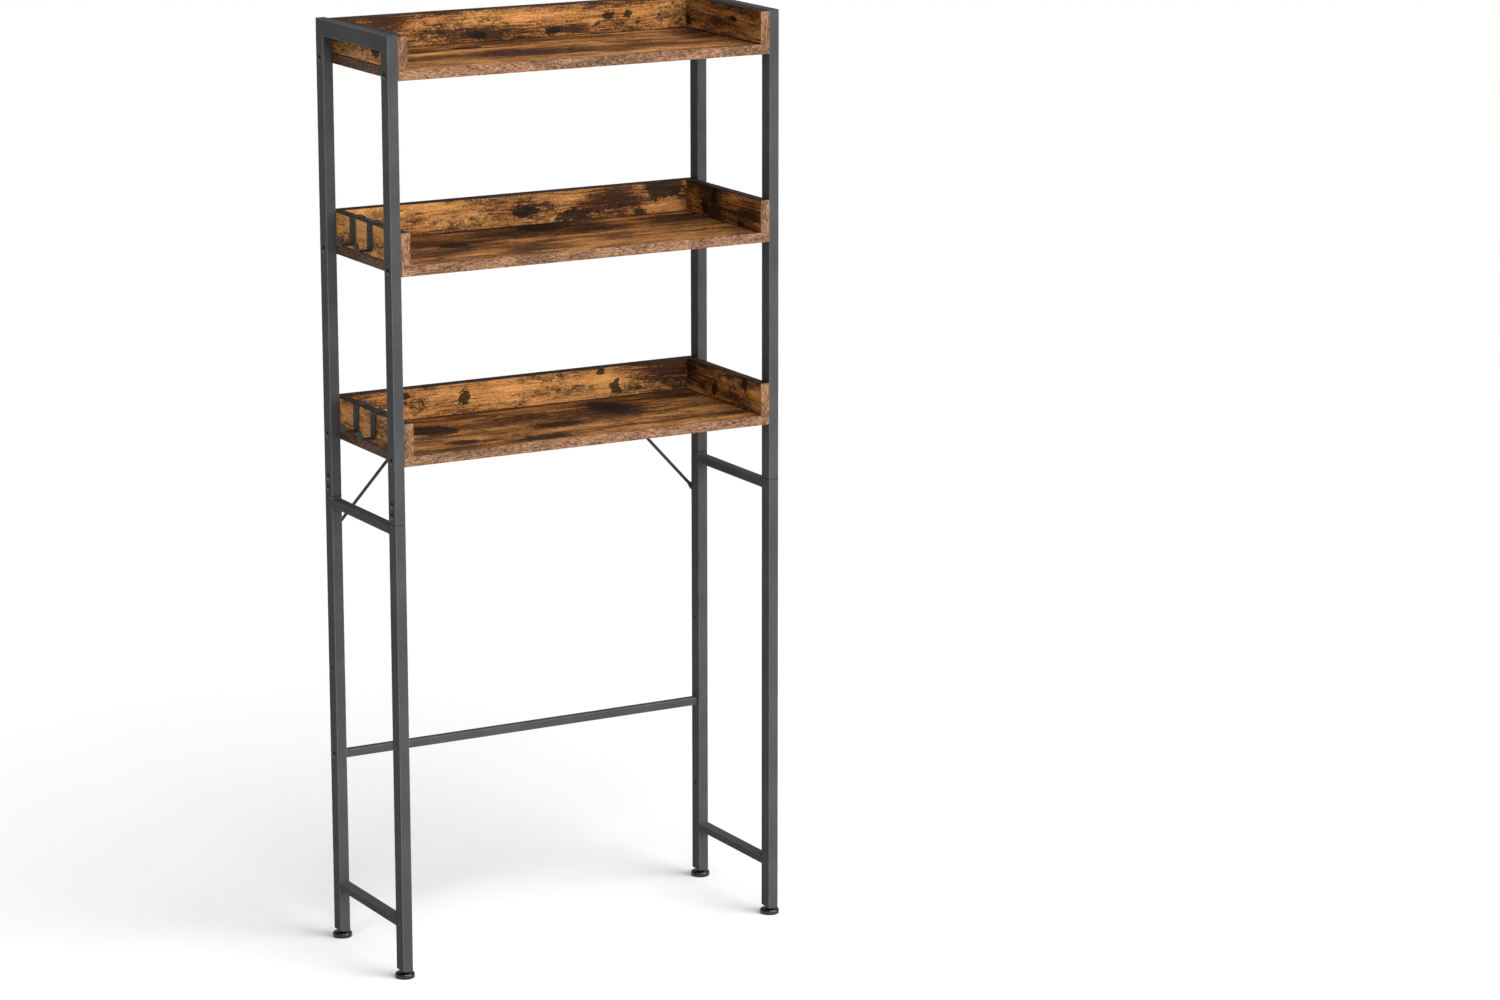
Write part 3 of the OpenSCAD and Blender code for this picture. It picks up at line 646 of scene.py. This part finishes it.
# Each board's tone, then its marks: kind, place along and across the grain, and reach along
# and across it, in mm
MARKS = {
    "top_tray_back": (0.0, [
        ("Brown", -258, 44, 40, 16), ("Crackle", -130, 20, 62, 22), ("Knot", -77, 13, 16, 8),
        ("Brown", -80, 12, 46, 11), ("Knot", 75, 12, 16, 7), ("Brown", 112, 10, 44, 8),
        ("Knot", 191, 32, 12, 9), ("Knot", 231, 32, 9, 7), ("Crackle", 207, 13, 26, 15),
        ("Knot", 250, 16, 4, 3), ("Gold", 305, 38, 66, 26), ("Gold", -20, 45, 90, 12)]),
    "mid_tray_back": (0.015, [
        ("Gold", -170, 36, 150, 30), ("Gold", 80, 22, 60, 14), ("Gold", 315, 12, 44, 12),
        ("Crackle", -205, 36, 30, 8), ("Crackle", -140, 18, 46, 17), ("Crackle", 15, 26, 52, 24),
        ("Knot", 14, 26, 26, 11), ("Knot", 116, 12, 38, 11), ("Brown", 190, 40, 60, 22),
        ("Crackle", 195, 20, 50, 14), ("Knot", 304, 46, 42, 17), ("Knot", 255, 5, 14, 9)]),
    "low_tray_back": (0.015, [
        ("Gold", -50, 34, 130, 24), ("Crackle", -228, 42, 26, 13), ("Knot", -238, 46, 9, 6),
        ("Crackle", -206, 18, 20, 14), ("Knot", -115, 33, 12, 19), ("Crackle", 60, 50, 80, 9),
        ("Crackle", 120, 20, 50, 12), ("Knot", 167, 52, 11, 6), ("Knot", 200, 21, 11, 14),
        ("Crackle", 285, 22, 70, 24), ("Brown", 305, 42, 60, 22), ("Gold", 170, 36, 60, 12)]),
    "top_tray_bottom": (-0.005, [
        ("Brown", -110, -35, 200, 40), ("Brown", -230, 85, 44, 34), ("Knot", -130, 70, 30, 16),
        ("Gold", 60, -124, 280, 32), ("Brown", 330, 40, 50, 80), ("Brown", 20, 110, 120, 24),
        ("Crackle", -100, -20, 180, 40)]),
    "mid_tray_bottom": (-0.03, [
        ("Brown", -185, 5, 76, 44), ("Knot", -190, 0, 34, 24), ("Brown", -20, 80, 80, 60),
        ("Knot", 30, 100, 50, 34), ("Brown", 110, 60, 70, 60), ("Brown", -90, -95, 66, 26),
        ("Gold", 150, -112, 210, 34), ("Brown", 300, 60, 60, 50), ("Crackle", 0, 60, 160, 60)]),
    "low_tray_bottom": (-0.02, [
        ("Knot", -228, 26, 50, 44), ("Knot", -225, -88, 32, 20), ("Knot", -72, -120, 54, 20),
        ("Knot", -4, -36, 50, 24), ("Brown", 145, 50, 70, 64), ("Knot", 146, 56, 34, 52),
        ("Brown", 293, 95, 60, 30), ("Gold", 190, -118, 120, 26), ("Crackle", 60, 20, 200, 70)]),
    "top_tray_right_side": (0.0, [
        ("Knot", -50, 37, 10, 6), ("Knot", 122, 16, 14, 9), ("Gold", 40, 46, 80, 10)]),
    "mid_tray_right_side": (-0.005, [
        ("Brown", 36, 30, 40, 40), ("Knot", 24, 44, 12, 15), ("Knot", 60, 18, 12, 12),
        ("Gold", 100, 18, 22, 14), ("Knot", -78, 2, 16, 8),
        ("Brown", -110, 30, 40, 20)]),
    "low_tray_right_side": (0.005, [
        ("Gold", -136, 30, 20, 24), ("Knot", -87, 50, 9, 13), ("Knot", 24, 21, 9, 13),
        ("Brown", 120, 45, 30, 20), ("Crackle", -60, 25, 70, 25)]),
    "top_tray_left_side": (0.0, [
        ("Crackle", 20, 30, 90, 24), ("Knot", -60, 22, 14, 9), ("Gold", 60, 30, 50, 18)]),
    "mid_tray_left_side": (0.03, [
        ("Gold", 10, 36, 150, 30), ("Crackle", 90, 12, 40, 12)]),
    "low_tray_left_side": (0.03, [
        ("Gold", 0, 34, 150, 30), ("Brown", 90, 12, 30, 12)]),
}


class RACK_OT_trays(bpy.types.Operator):
    """The twelve boards of the three trays, and their screw heads"""

    bl_idname = "rack.trays"
    bl_label = "Trays"

    def board(self, name, materials, settings, edge_axes):
        """A slab with rounded edges: wide faces in slot 0, edge bands in slots 1 and 2"""
        low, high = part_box(name)
        bm = bmesh.new()
        corners = [bm.verts.new((x, y, z)) for x in (low.x, high.x) for y in (low.y, high.y)
                   for z in (low.z, high.z)]
        for a, b, c, d in ((0, 1, 3, 2), (4, 6, 7, 5), (0, 4, 5, 1), (2, 3, 7, 6), (0, 2, 6, 4),
                           (1, 5, 7, 3)):
            bm.faces.new((corners[a], corners[b], corners[c], corners[d]))
        bmesh.ops.recalc_face_normals(bm, faces=bm.faces)
        bmesh.ops.bevel(bm, geom=list(bm.edges), offset=settings.rounding, segments=3,
                        profile=0.5, affect="EDGES")
        bm.normal_update()
        thin = min(range(3), key=lambda k: high[k] - low[k])
        wide = []
        for side in bm.faces:
            flat = max(range(3), key=lambda k: abs(side.normal[k]))
            is_flat = abs(side.normal[flat]) > FLAT
            side.smooth = not is_flat
            if is_flat and flat == thin:
                side.material_index = 0
                wide.append(side)
                continue
            ranked = sorted(range(3), key=lambda k: -abs(side.normal[k]))
            main = ranked[0] if ranked[0] != thin else ranked[1]
            side.material_index = edge_axes[main]
        ring = bmesh.ops.inset_individual(bm, faces=wide, thickness=settings.band_width,
                                          use_even_offset=True)["faces"]
        for side in ring:
            middle = side.calc_center_median()
            share = [min(middle[k] - low[k], high[k] - middle[k]) for k in range(3)]
            main = min((k for k in range(3) if k != thin), key=lambda k: share[k])
            side.material_index = edge_axes[main]
            side.smooth = False
        piece_from(name + "_board", bm, materials, "frame", [name])

    def screw_heads(self, zinc):
        """Countersunk heads with a cross recess, a hair proud of the boards"""
        bm = bmesh.new()
        for low, high in islands("tray_screws"):
            size = high - low
            upright = size.z > size.y
            middle = (low + high) / 2
            radius = min(size.x, size.y if upright else size.z) / 2
            top = Vector((middle.x, middle.y, low.z)) if upright else Vector(
                (middle.x, high.y, middle.z))
            out = Vector((0, 0, -1)) if upright else Vector((0, 1, 0))
            across = Vector((1, 0, 0))
            other = out.cross(across)
            proud = 0.25 * MM
            turns = 32
            recess_top, recess_floor = 0.62, 0.5  # shares of the head's radius
            rings = []
            for share, height in ((0.5, -3.0 * MM), (0.98, -0.1 * MM), (1.0, proud * 0.4),
                                  (0.94, proud), (recess_top, proud),
                                  (recess_floor, proud - 0.7 * MM)):
                ring = []
                for k in range(turns):
                    angle = 2 * math.pi * k / turns
                    reach = radius * share
                    if share in (recess_top, recess_floor) and height > -MM:
                        cross = max(abs(math.cos(angle)), abs(math.sin(angle)))
                        reach = radius * share * (0.3 + 0.7 * max(0.0, (cross - 0.8) / 0.2))
                    ring.append(top + across * reach * math.cos(angle)
                                + other * reach * math.sin(angle) + out * height)
                rings.append(ring)
            skin_rings(bm, rings)
        piece_from("tray_screw_heads", bm, [zinc], "frame", ["tray_screws"])

    def execute(self, context):
        settings = context.scene.rack_boards
        pattern = board_pattern(settings)
        pale, rim = tuple(settings.band), tuple(settings.top_band)
        bands = {
            "front along x": band_material("edge band along x", pale, "X", "Z", 0.85),
            "front along z": band_material("edge band along z", pale, "Z", "X", 0.85),
            "end": band_material("edge band along y", tint(pale, 0.55), "Y", "Z", 0.9),
            "rim along x": band_material("rim band along x", rim, "X", "Y", 0.8),
            "rim along y": band_material("rim band along y", rim, "Y", "X", 0.8),
        }
        for number, (name, (tone, marks)) in enumerate(MARKS.items()):
            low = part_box(name)[0]
            if name.endswith("bottom"):
                axes = ("X", "Y", 0.0)
                rows = [bands["end"], bands["front along x"]]
                edge_axes = {0: 1, 1: 2}
            elif name.endswith("back"):
                axes = ("X", "Z", low.z)
                rows = [bands["end"], bands["rim along x"]]
                edge_axes = {0: 1, 2: 2}
            else:
                axes = ("Y", "Z", low.z)
                rows = [bands["front along z"], bands["rim along y"]]
                edge_axes = {1: 1, 2: 2}
            face = board_material(name.replace("_", " ") + " wood", pattern, *axes, tone, marks,
                                  number)
            self.board(name, [face, *rows], settings, edge_axes)
        self.screw_heads(NODES["tray_inserts"].material_slots[0].material)
        return {"FINISHED"}


class RACK_OT_hooks(bpy.types.Operator):
    """The four loose hooks, each bent from a flat strip with round ends"""

    bl_idname = "rack.hooks"
    bl_label = "Hooks"

    def path(self, low, high, settings):
        """Middle line of the strip seen from the front, from the tab to the tip"""
        t, mid = settings.thickness, settings.bend + settings.thickness / 2
        r = settings.bend + t  # outer radius of every bend
        tab_x, tip_x = high.x, low.x
        plate_x = tip_x + settings.reach
        steps = 8
        line = [(tab_x - t / 2, high.z - settings.tab)]
        line += arc((tab_x - r, high.z - r), mid, 0, 90, steps)
        line += arc((plate_x + r, high.z - r), mid, 90, 180, steps)
        line += arc((plate_x + t - r, low.z + r), mid, 0, -90, steps)
        line += arc((tip_x + r, low.z + r), mid, 270, 180, steps)
        line += [(tip_x + t / 2, low.z + settings.tip)]
        return line

    def stations(self, line, half, settings):
        """(point, sideways, half width, half thickness) all along the strip"""
        lengths = [0.0]
        for (x0, z0), (x1, z1) in zip(line, line[1:]):
            lengths.append(lengths[-1] + math.hypot(x1 - x0, z1 - z0))
        total = lengths[-1]
        inset, thinned = 0.0003, 0.0006  # the first ring's place, and how far in the strip is thinner
        ends = [half * (1 - math.cos(math.radians(a))) for a in range(14, 91, 4)]
        wanted = sorted(set([inset] + ends + [total - e for e in ends] + [total - inset]
                            + [s for s in lengths if half < s < total - half]))
        made = []
        for s in wanted:
            k = max(i for i, at in enumerate(lengths[:-1]) if at <= s + 1e-9)
            (x0, z0), (x1, z1) = line[k], line[k + 1]
            share = (s - lengths[k]) / (lengths[k + 1] - lengths[k])
            along = Vector((x1 - x0, 0, z1 - z0)).normalized()
            before = line[k - 1] if k and share < 1e-6 else None
            if before:
                along = (along + Vector((x0 - before[0], 0, z0 - before[1])).normalized()).normalized()
            near = min(s, total - s)
            width = half if near >= half else math.sqrt(half ** 2 - (half - near) ** 2)
            thick = settings.thickness / 2 - (settings.edge * 0.7 if near < thinned else 0.0)
            point = Vector((x0 + (x1 - x0) * share, 0, z0 + (z1 - z0) * share))
            made.append((point, Vector((along.z, 0, -along.x)), width, thick))
        return made

    def execute(self, context):
        settings = context.scene.rack_hooks
        coat = hook_material(settings)
        for name in [f"{t}_{e}_hook" for t in TRAYS[:2] for e in ENDS]:
            low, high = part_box(name)
            middle_y = (low.y + high.y) / 2
            line = self.path(low, high, settings)
            bm = bmesh.new()
            wear = bm.verts.layers.float.new("edge")
            rings = []
            flags = []
            for point, side, width, thick in self.stations(line, (high.y - low.y) / 2, settings):
                e = min(settings.edge, thick * 0.9, width * 0.9)
                ring = []
                for sy, sn, start in ((1, 1, 0), (-1, 1, 90), (-1, -1, 180), (1, -1, 270)):
                    for a in (0, 30, 60, 90):
                        angle = math.radians(start + a)
                        y = sy * (width - e) + e * math.cos(angle)
                        n = sn * (thick - e) + e * math.sin(angle)
                        ring.append(point + side * n + Vector((0, middle_y + y, 0)))
                rings.append(ring)
                flags.append([0.25, 1.0, 1.0, 0.25] * 4)
            rows = skin_rings(bm, rings)
            for row, row_flags in zip(rows, flags):
                for vert, flag in zip(row, row_flags):
                    vert[wear] = flag
            piece_from(name + "_strip", bm, [coat], name, [name])
        return {"FINISHED"}


class RACK_OT_feet(bpy.types.Operator):
    """The four glossy glide pads"""

    bl_idname = "rack.feet"
    bl_label = "Feet"

    def execute(self, context):
        settings = context.scene.rack_feet
        gloss = moulded_material("pad plastic", tuple(settings.colour), 0.07, 0.00005)
        for corner in CORNERS:
            low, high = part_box(corner + "_foot_pad")
            radius = (high.x - low.x) / 2
            top = high.z - low.z
            centre = Vector(((low.x + high.x) / 2, (low.y + high.y) / 2, low.z))
            dome, disc, collar = settings.dome, settings.disc, settings.collar / 2
            heel, hollow, fillet, lip = 1.2 * MM, 0.6 * MM, 1.4 * MM, 0.7 * MM
            core, bore = 1.0 * MM, 4.06 * MM  # innermost radius, and the hole for the stud
            profile = [(core, hollow), (radius * 0.7, hollow), (radius * 0.74, 0.0),
                       (radius - heel, 0.0)]
            profile += arc((radius - heel, heel), heel, -75, 0, 4)
            profile += arc((radius - dome, disc - dome), dome, 0, 84, 9)
            profile += [(radius - dome - 1.5 * MM, disc + 0.05 * MM)]
            profile += [(collar + fillet + 1.0 * MM, disc + 0.15 * MM)]
            profile += arc((collar + fillet, disc + fillet), fillet, 270, 180, 4)
            profile += arc((collar - lip, top - lip), lip, 0, 90, 4)
            profile += [(4.1 * MM, top), (bore, top - 1.0 * MM), (bore, 4.2 * MM),
                        (core, 4.0 * MM)]
            bm = bmesh.new()
            lathe(bm, profile, centre)
            piece_from(corner + "_glide", bm, [gloss], corner + "_pad",
                       [corner + "_foot_pad"])
        return {"FINISHED"}


class RACK_OT_braces(bpy.types.Operator):
    """The two knee braces, round rod pressed flat at both ends"""

    bl_idname = "rack.braces"
    bl_label = "Knee braces"

    def execute(self, context):
        settings = context.scene.rack_braces
        steel = context.scene.rack_coat
        coat = coat_material("brace coat", tuple(steel.colour), steel.roughness)
        rod, flat, half = settings.rod / 2, settings.flat / 2, settings.flat_width / 2
        for side in SIDES:
            name = side + "_knee_brace"
            low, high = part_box(name)
            sign = 1 if side == "left" else -1
            foot_x, head_x = (low.x, high.x) if side == "left" else (high.x, low.x)
            foot = Vector((foot_x + sign * half, low.y, low.z + half))
            head = Vector((head_x - sign * half, low.y, high.z - half))
            along = (head - foot).normalized()
            across = along.cross(Vector((0, 1, 0)))
            length = (head - foot).length
            press, turn = 9.0 * MM, 13.0 * MM  # length of the flat, and of its change to round
            around = 28
            marks = [half * (1 - math.cos(math.radians(a))) - half for a in range(14, 91, 8)]
            marks += [press * k / 3 for k in range(1, 4)]
            marks += [press + turn * k / 8 for k in range(1, 9)]
            marks += [length - m for m in reversed(marks)]
            bm = bmesh.new()
            rings = []
            for s in marks:
                near = min(s, length - s)
                share = min(1.0, max(0.0, (near - press) / turn))
                share = share * share * (3 - 2 * share)
                wide = half + (rod - half) * share
                if near < 0:
                    wide = math.sqrt(max(0.0, half ** 2 - near ** 2))
                thick = flat + (rod - flat) * share
                power = 2.0 / (5.0 - 3.0 * share)  # boxy at the flat, round along the rod
                middle = foot + along * s + Vector((0, thick + 0.01 * MM, 0))
                ring = []
                for k in range(around):
                    angle = 2 * math.pi * k / around
                    c, v = math.cos(angle), math.sin(angle)
                    a = math.copysign(abs(c) ** power, c) * wide
                    b = math.copysign(abs(v) ** power, v) * thick
                    ring.append(middle + across * a + Vector((0, b, 0)))
                rings.append(ring)
            skin_rings(bm, rings)
            piece_from(name + "_rod", bm, [coat], "frame", [name])
        return {"FINISHED"}


# Places of the lights and the camera, in metres, and the camera's angles, in degrees
KEY_FROM, KEY_SPREAD = (1.0, -2.8, 2.7), 75
FILL_FROM, FILL_SIZE = (2.2, -4.0, 1.2), 2.5
GLINT_FROM, GLINT_SIZE = (-3.2, -1.8, 3.0), 0.7
MIDDLE = (0.0, 0.0, 0.9)
CAMERA_AT, CAMERA_PITCH, CAMERA_YAW = (-3.7716, -7.3795, 2.719), 12.95, 29.57
FLOOR_REACH = 60.0


class RACK_OT_stage(bpy.types.Operator):
    """Plain floor, soft lights and the camera"""

    bl_idname = "rack.stage"
    bl_label = "Stage"

    def aim(self, data, place, target):
        lamp = bpy.data.objects.new(data.name, data)
        bpy.context.scene.collection.objects.link(lamp)
        lamp.location = place
        lamp.rotation_euler = (Vector(target) - Vector(place)).to_track_quat("-Z", "Y").to_euler()

    def execute(self, context):
        settings = context.scene.rack_stage
        scene = context.scene
        mesh = bpy.data.meshes.new("floor")
        reach = FLOOR_REACH
        mesh.from_pydata([(-reach, -reach, 0), (reach, -reach, 0), (reach, reach, 0),
                          (-reach, reach, 0)], [], [(0, 1, 2, 3)])
        floor = bpy.data.objects.new("floor", mesh)
        scene.collection.objects.link(floor)
        paint = bpy.data.materials.new("floor paint")
        paint.use_nodes = True
        shader = paint.node_tree.nodes["Principled BSDF"].inputs
        shader["Base Color"].default_value = (*settings.floor, 1.0)
        shader["Roughness"].default_value = 0.9
        shader["Specular IOR Level"].default_value = MIRROR["floor"]
        mesh.materials.append(paint)

        world = bpy.data.worlds.new("studio")
        world.use_nodes = True
        world.node_tree.nodes.clear()
        wires = Wiring(world.node_tree)
        seen = wires.node("ShaderNodeBackground")
        seen.inputs["Color"].default_value = (0.97, 0.97, 0.97, 1.0)
        around = wires.node("ShaderNodeSeparateXYZ")
        wires.feed(around.inputs[0], wires.node("ShaderNodeTexCoord").outputs["Generated"])
        lean = wires.math("SUBTRACT", around.outputs["X"],
                          wires.math("MULTIPLY", around.outputs["Y"], 0.6))
        strength = wires.math("ADD", wires.math("MULTIPLY", lean, settings.lean), settings.sky)
        room = wires.node("ShaderNodeBackground")
        wires.feed(room.inputs["Strength"], wires.math("MAXIMUM", strength, 0.0))
        both = wires.node("ShaderNodeMixShader")
        wires.feed(both.inputs[0], wires.node("ShaderNodeLightPath").outputs["Is Camera Ray"])
        wires.feed(both.inputs[1], room.outputs[0])
        wires.feed(both.inputs[2], seen.outputs[0])
        wires.feed(wires.node("ShaderNodeOutputWorld").inputs["Surface"], both.outputs[0])
        scene.world = world

        key = bpy.data.lights.new("key", "SUN")
        key.energy = settings.key
        key.angle = math.radians(KEY_SPREAD)
        self.aim(key, KEY_FROM, (0.0, 0.0, 0.0))
        fill = bpy.data.lights.new("fill", "AREA")
        fill.energy = settings.fill
        fill.size = FILL_SIZE
        self.aim(fill, FILL_FROM, MIDDLE)
        glint = bpy.data.lights.new("glint", "AREA")
        glint.energy = settings.glint
        glint.size = GLINT_SIZE
        self.aim(glint, GLINT_FROM, MIDDLE)

        data = bpy.data.cameras.new("camera")
        data.lens = settings.lens
        data.sensor_width = 36.0
        data.clip_end = 200.0
        camera = bpy.data.objects.new("camera", data)
        scene.collection.objects.link(camera)
        camera.location = CAMERA_AT
        camera.rotation_euler = Euler((math.radians(90 - CAMERA_PITCH), 0.0,
                                       math.radians(-CAMERA_YAW)))
        scene.camera = camera
        scene.view_settings.view_transform = "Standard"
        return {"FINISHED"}


STEPS = ("stage", "frame", "trays", "hooks", "feet", "braces")


class RACK_PT_panel(bpy.types.Panel):
    """Lists the rack's pieces and their sizes and colours"""

    bl_idname = "RACK_PT_panel"
    bl_label = "Storage rack"
    bl_space_type = "VIEW_3D"
    bl_region_type = "UI"
    bl_category = "Rack"

    def draw(self, context):
        for step in STEPS:
            box = self.layout.box()
            box.operator("rack." + step)
            name = {"frame": "rack_coat", "trays": "rack_boards"}.get(step, "rack_" + step)
            settings = getattr(context.scene, name)
            for key in type(settings).__annotations__:
                box.prop(settings, key)


CLASSES = (*SETTINGS.values(), RACK_OT_stage, RACK_OT_frame, RACK_OT_trays, RACK_OT_hooks,
           RACK_OT_feet, RACK_OT_braces, RACK_PT_panel)


def register():
    for item in CLASSES:
        bpy.utils.register_class(item)
    for name, group in SETTINGS.items():
        setattr(bpy.types.Scene, name, bpy.props.PointerProperty(type=group))


def unregister():
    for name in SETTINGS:
        delattr(bpy.types.Scene, name)
    for item in reversed(CLASSES):
        bpy.utils.unregister_class(item)


def main():
    register()
    for step in STEPS:
        getattr(bpy.ops.rack, step)()
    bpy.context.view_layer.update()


if __name__ == "__main__":
    main()
